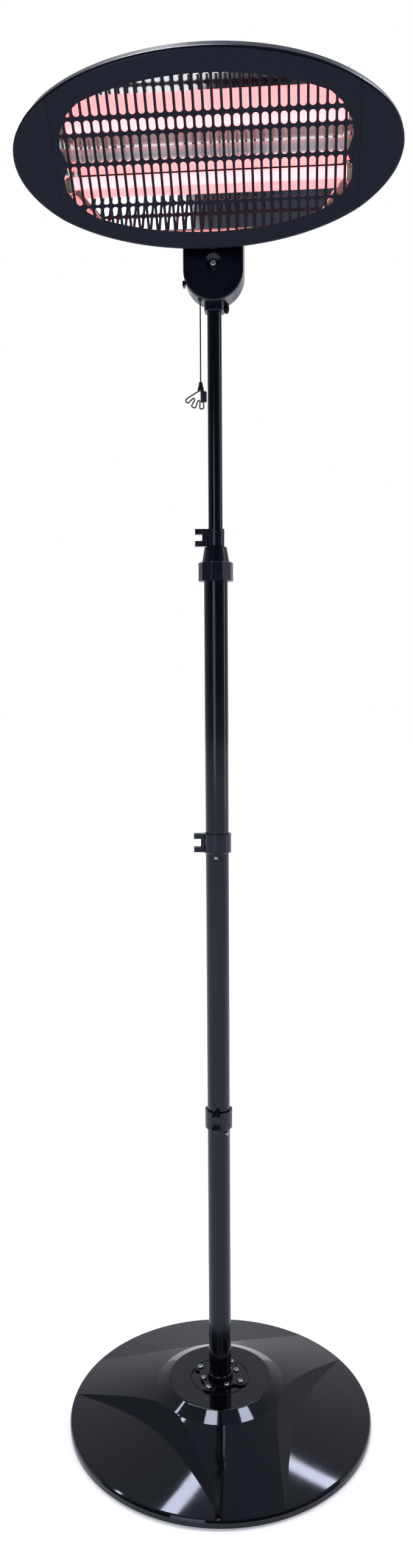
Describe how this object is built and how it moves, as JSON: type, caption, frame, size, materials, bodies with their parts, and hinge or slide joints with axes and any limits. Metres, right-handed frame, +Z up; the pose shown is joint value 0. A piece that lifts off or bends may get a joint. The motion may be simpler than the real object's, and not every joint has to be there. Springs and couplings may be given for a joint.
{
  "type": "infrared patio heater",
  "caption": "Standing infrared patio heater: oval head with glowing quartz tubes behind a slotted grille, tilting neck with pull cord, telescopic pole and domed round base.",
  "frame": {"origin": "on the floor at the pole's axis", "axes": "+Z up, the head faces -Y, +X to the right seen from the front"},
  "size_m": [0.4684, 0.434, 1.789],
  "materials": {
    "black_enamel": "gloss stoved enamel",
    "concrete": "cast, rough",
    "black_steel": "gloss powder coat",
    "black_tube": "satin gloss powder coat on steel tube",
    "black_screw": "blackened",
    "black_washer": "blackened",
    "zinc_screw": "zinc plated",
    "button_steel": "dark plated",
    "spring_steel": "oiled spring steel",
    "rubber_pad": "matt",
    "black_plastic": "fine grain",
    "neck_plastic": "moulded, semi-gloss",
    "switch_plastic": "plain",
    "terminal_plastic": "plain",
    "tag_plastic": "plain",
    "cord": "braided cord",
    "head_paint": "satin powder coat",
    "casing_paint": "satin powder coat",
    "polished_reflector": "bright rolled, polished",
    "quartz": "clear fused tube",
    "hot_coil": "glowing red hot",
    "cold_coil": "oxidised wire",
    "steatite": "unglazed",
    "holder_steel": "plain rolled sheet",
    "cutout_plastic": "plain"
  },
  "bodies": {
    "stand": {"base_cover": "black_enamel", "base_weight": "concrete", "base_pan": "black_steel", "rubber_feet": "rubber_pad", "pan_screws": "zinc_screw", "backing_plate": "black_steel", "mast_flange": "black_steel", "flange_screws_inner": "black_screw", "flange_screws_outer": "black_screw", "tube_foot": "black_steel", "lower_tube": "black_tube", "middle_tube": "black_tube", "outer_tube": "black_tube", "leaf_spring_lower": "spring_steel", "leaf_spring_upper": "spring_steel", "collet": "black_plastic"},
    "button_lower": {"snap_button_lower": "button_steel"},
    "button_upper": {"snap_button_upper": "button_steel"},
    "nut": {"lock_nut": "black_plastic"},
    "clip_top": {"cable_clip_top": "black_plastic"},
    "clip_middle": {"cable_clip_middle": "black_plastic"},
    "clip_lower": {"cable_clip_lower": "black_plastic"},
    "slider": {"guide_bush": "black_plastic"},
    "neck": {"inner_tube": "black_tube", "neck_front_shell": "neck_plastic", "neck_rear_shell": "neck_plastic", "tube_collar": "neck_plastic", "neck_screw": "zinc_screw", "pivot_bolt": "zinc_screw", "pivot_sleeve": "black_steel", "pivot_washers": "black_washer", "cord_guide": "neck_plastic", "switch_body": "switch_plastic", "cable_gland": "black_plastic", "terminal_block": "terminal_plastic"},
    "pull": {"cord_anchor": "cord", "pull_cord": "cord", "cord_bell": "black_plastic", "cord_loops": "cord", "cord_tag": "tag_plastic"},
    "lever": {"switch_lever": "switch_plastic"},
    "head": {"front_panel": "head_paint", "end_cap_left": "head_paint", "end_cap_right": "head_paint", "rear_casing": "casing_paint", "casing_screws": "black_screw", "reflector": "polished_reflector", "quartz_tube_top": "quartz", "quartz_tube_middle": "quartz", "quartz_tube_bottom": "quartz", "heating_coil_top": "hot_coil", "heating_coil_middle": "cold_coil", "heating_coil_bottom": "hot_coil", "ceramic_caps": "steatite", "tube_holder_left": "holder_steel", "tube_holder_right": "holder_steel", "link_strips": "holder_steel", "thermal_cutout": "cutout_plastic", "pivot_bracket": "black_steel"},
    "knob": {"tilt_knob": "black_plastic"}
  },
  "joints": [
    {"name": "button_lower_press", "type": "slide", "parent": "stand", "child": "button_lower", "axis": [-0.7314, 0.682, 0], "range_m": [0, 0.003], "stiffness_N_per_m": 500},
    {"name": "button_upper_press", "type": "slide", "parent": "stand", "child": "button_upper", "axis": [0.0349, 0.9994, 0], "range_m": [0, 0.003], "stiffness_N_per_m": 500},
    {"name": "nut_turn", "type": "hinge", "parent": "stand", "child": "nut", "pos_m": [0, 0, 1.212], "axis": [0, 0, 1], "range_deg": [0, 180]},
    {"name": "clip_top_turn", "type": "hinge", "parent": "stand", "child": "clip_top", "pos_m": [0, 0, 1.256], "axis": [0, 0, 1], "continuous": true},
    {"name": "clip_middle_turn", "type": "hinge", "parent": "stand", "child": "clip_middle", "pos_m": [0, 0, 0.844], "axis": [0, 0, 1], "continuous": true},
    {"name": "clip_lower_turn", "type": "hinge", "parent": "stand", "child": "clip_lower", "pos_m": [0, 0, 0.451], "axis": [0, 0, 1], "continuous": true},
    {"name": "height_slide", "type": "slide", "parent": "stand", "child": "slider", "axis": [0, 0, 1], "range_m": [-0.15, 0.15]},
    {"name": "mast_swivel", "type": "hinge", "parent": "slider", "child": "neck", "pos_m": [0, 0, 1.005], "axis": [0, 0, 1], "continuous": true},
    {"name": "head_tilt", "type": "hinge", "parent": "neck", "child": "head", "pos_m": [0, 0.001, 1.682], "axis": [1, 0, 0], "range_deg": [-45, 0]},
    {"name": "knob_turn", "type": "hinge", "parent": "neck", "child": "knob", "pos_m": [0.05, 0.001, 1.682], "axis": [1, 0, 0], "continuous": true},
    {"name": "cord_pull", "type": "slide", "parent": "neck", "child": "pull", "axis": [0, 0, -1], "range_m": [0, 0.01], "stiffness_N_per_m": 600},
    {"name": "lever_turn", "type": "hinge", "parent": "neck", "child": "lever", "pos_m": [0.00386, -0.011, 1.5831], "axis": [0, -1, 0], "range_deg": [0, 26]}
  ],
  "couplings": [
    {"joint": "lever_turn", "follows": "cord_pull", "rad_per_m": 45.379}
  ]
}
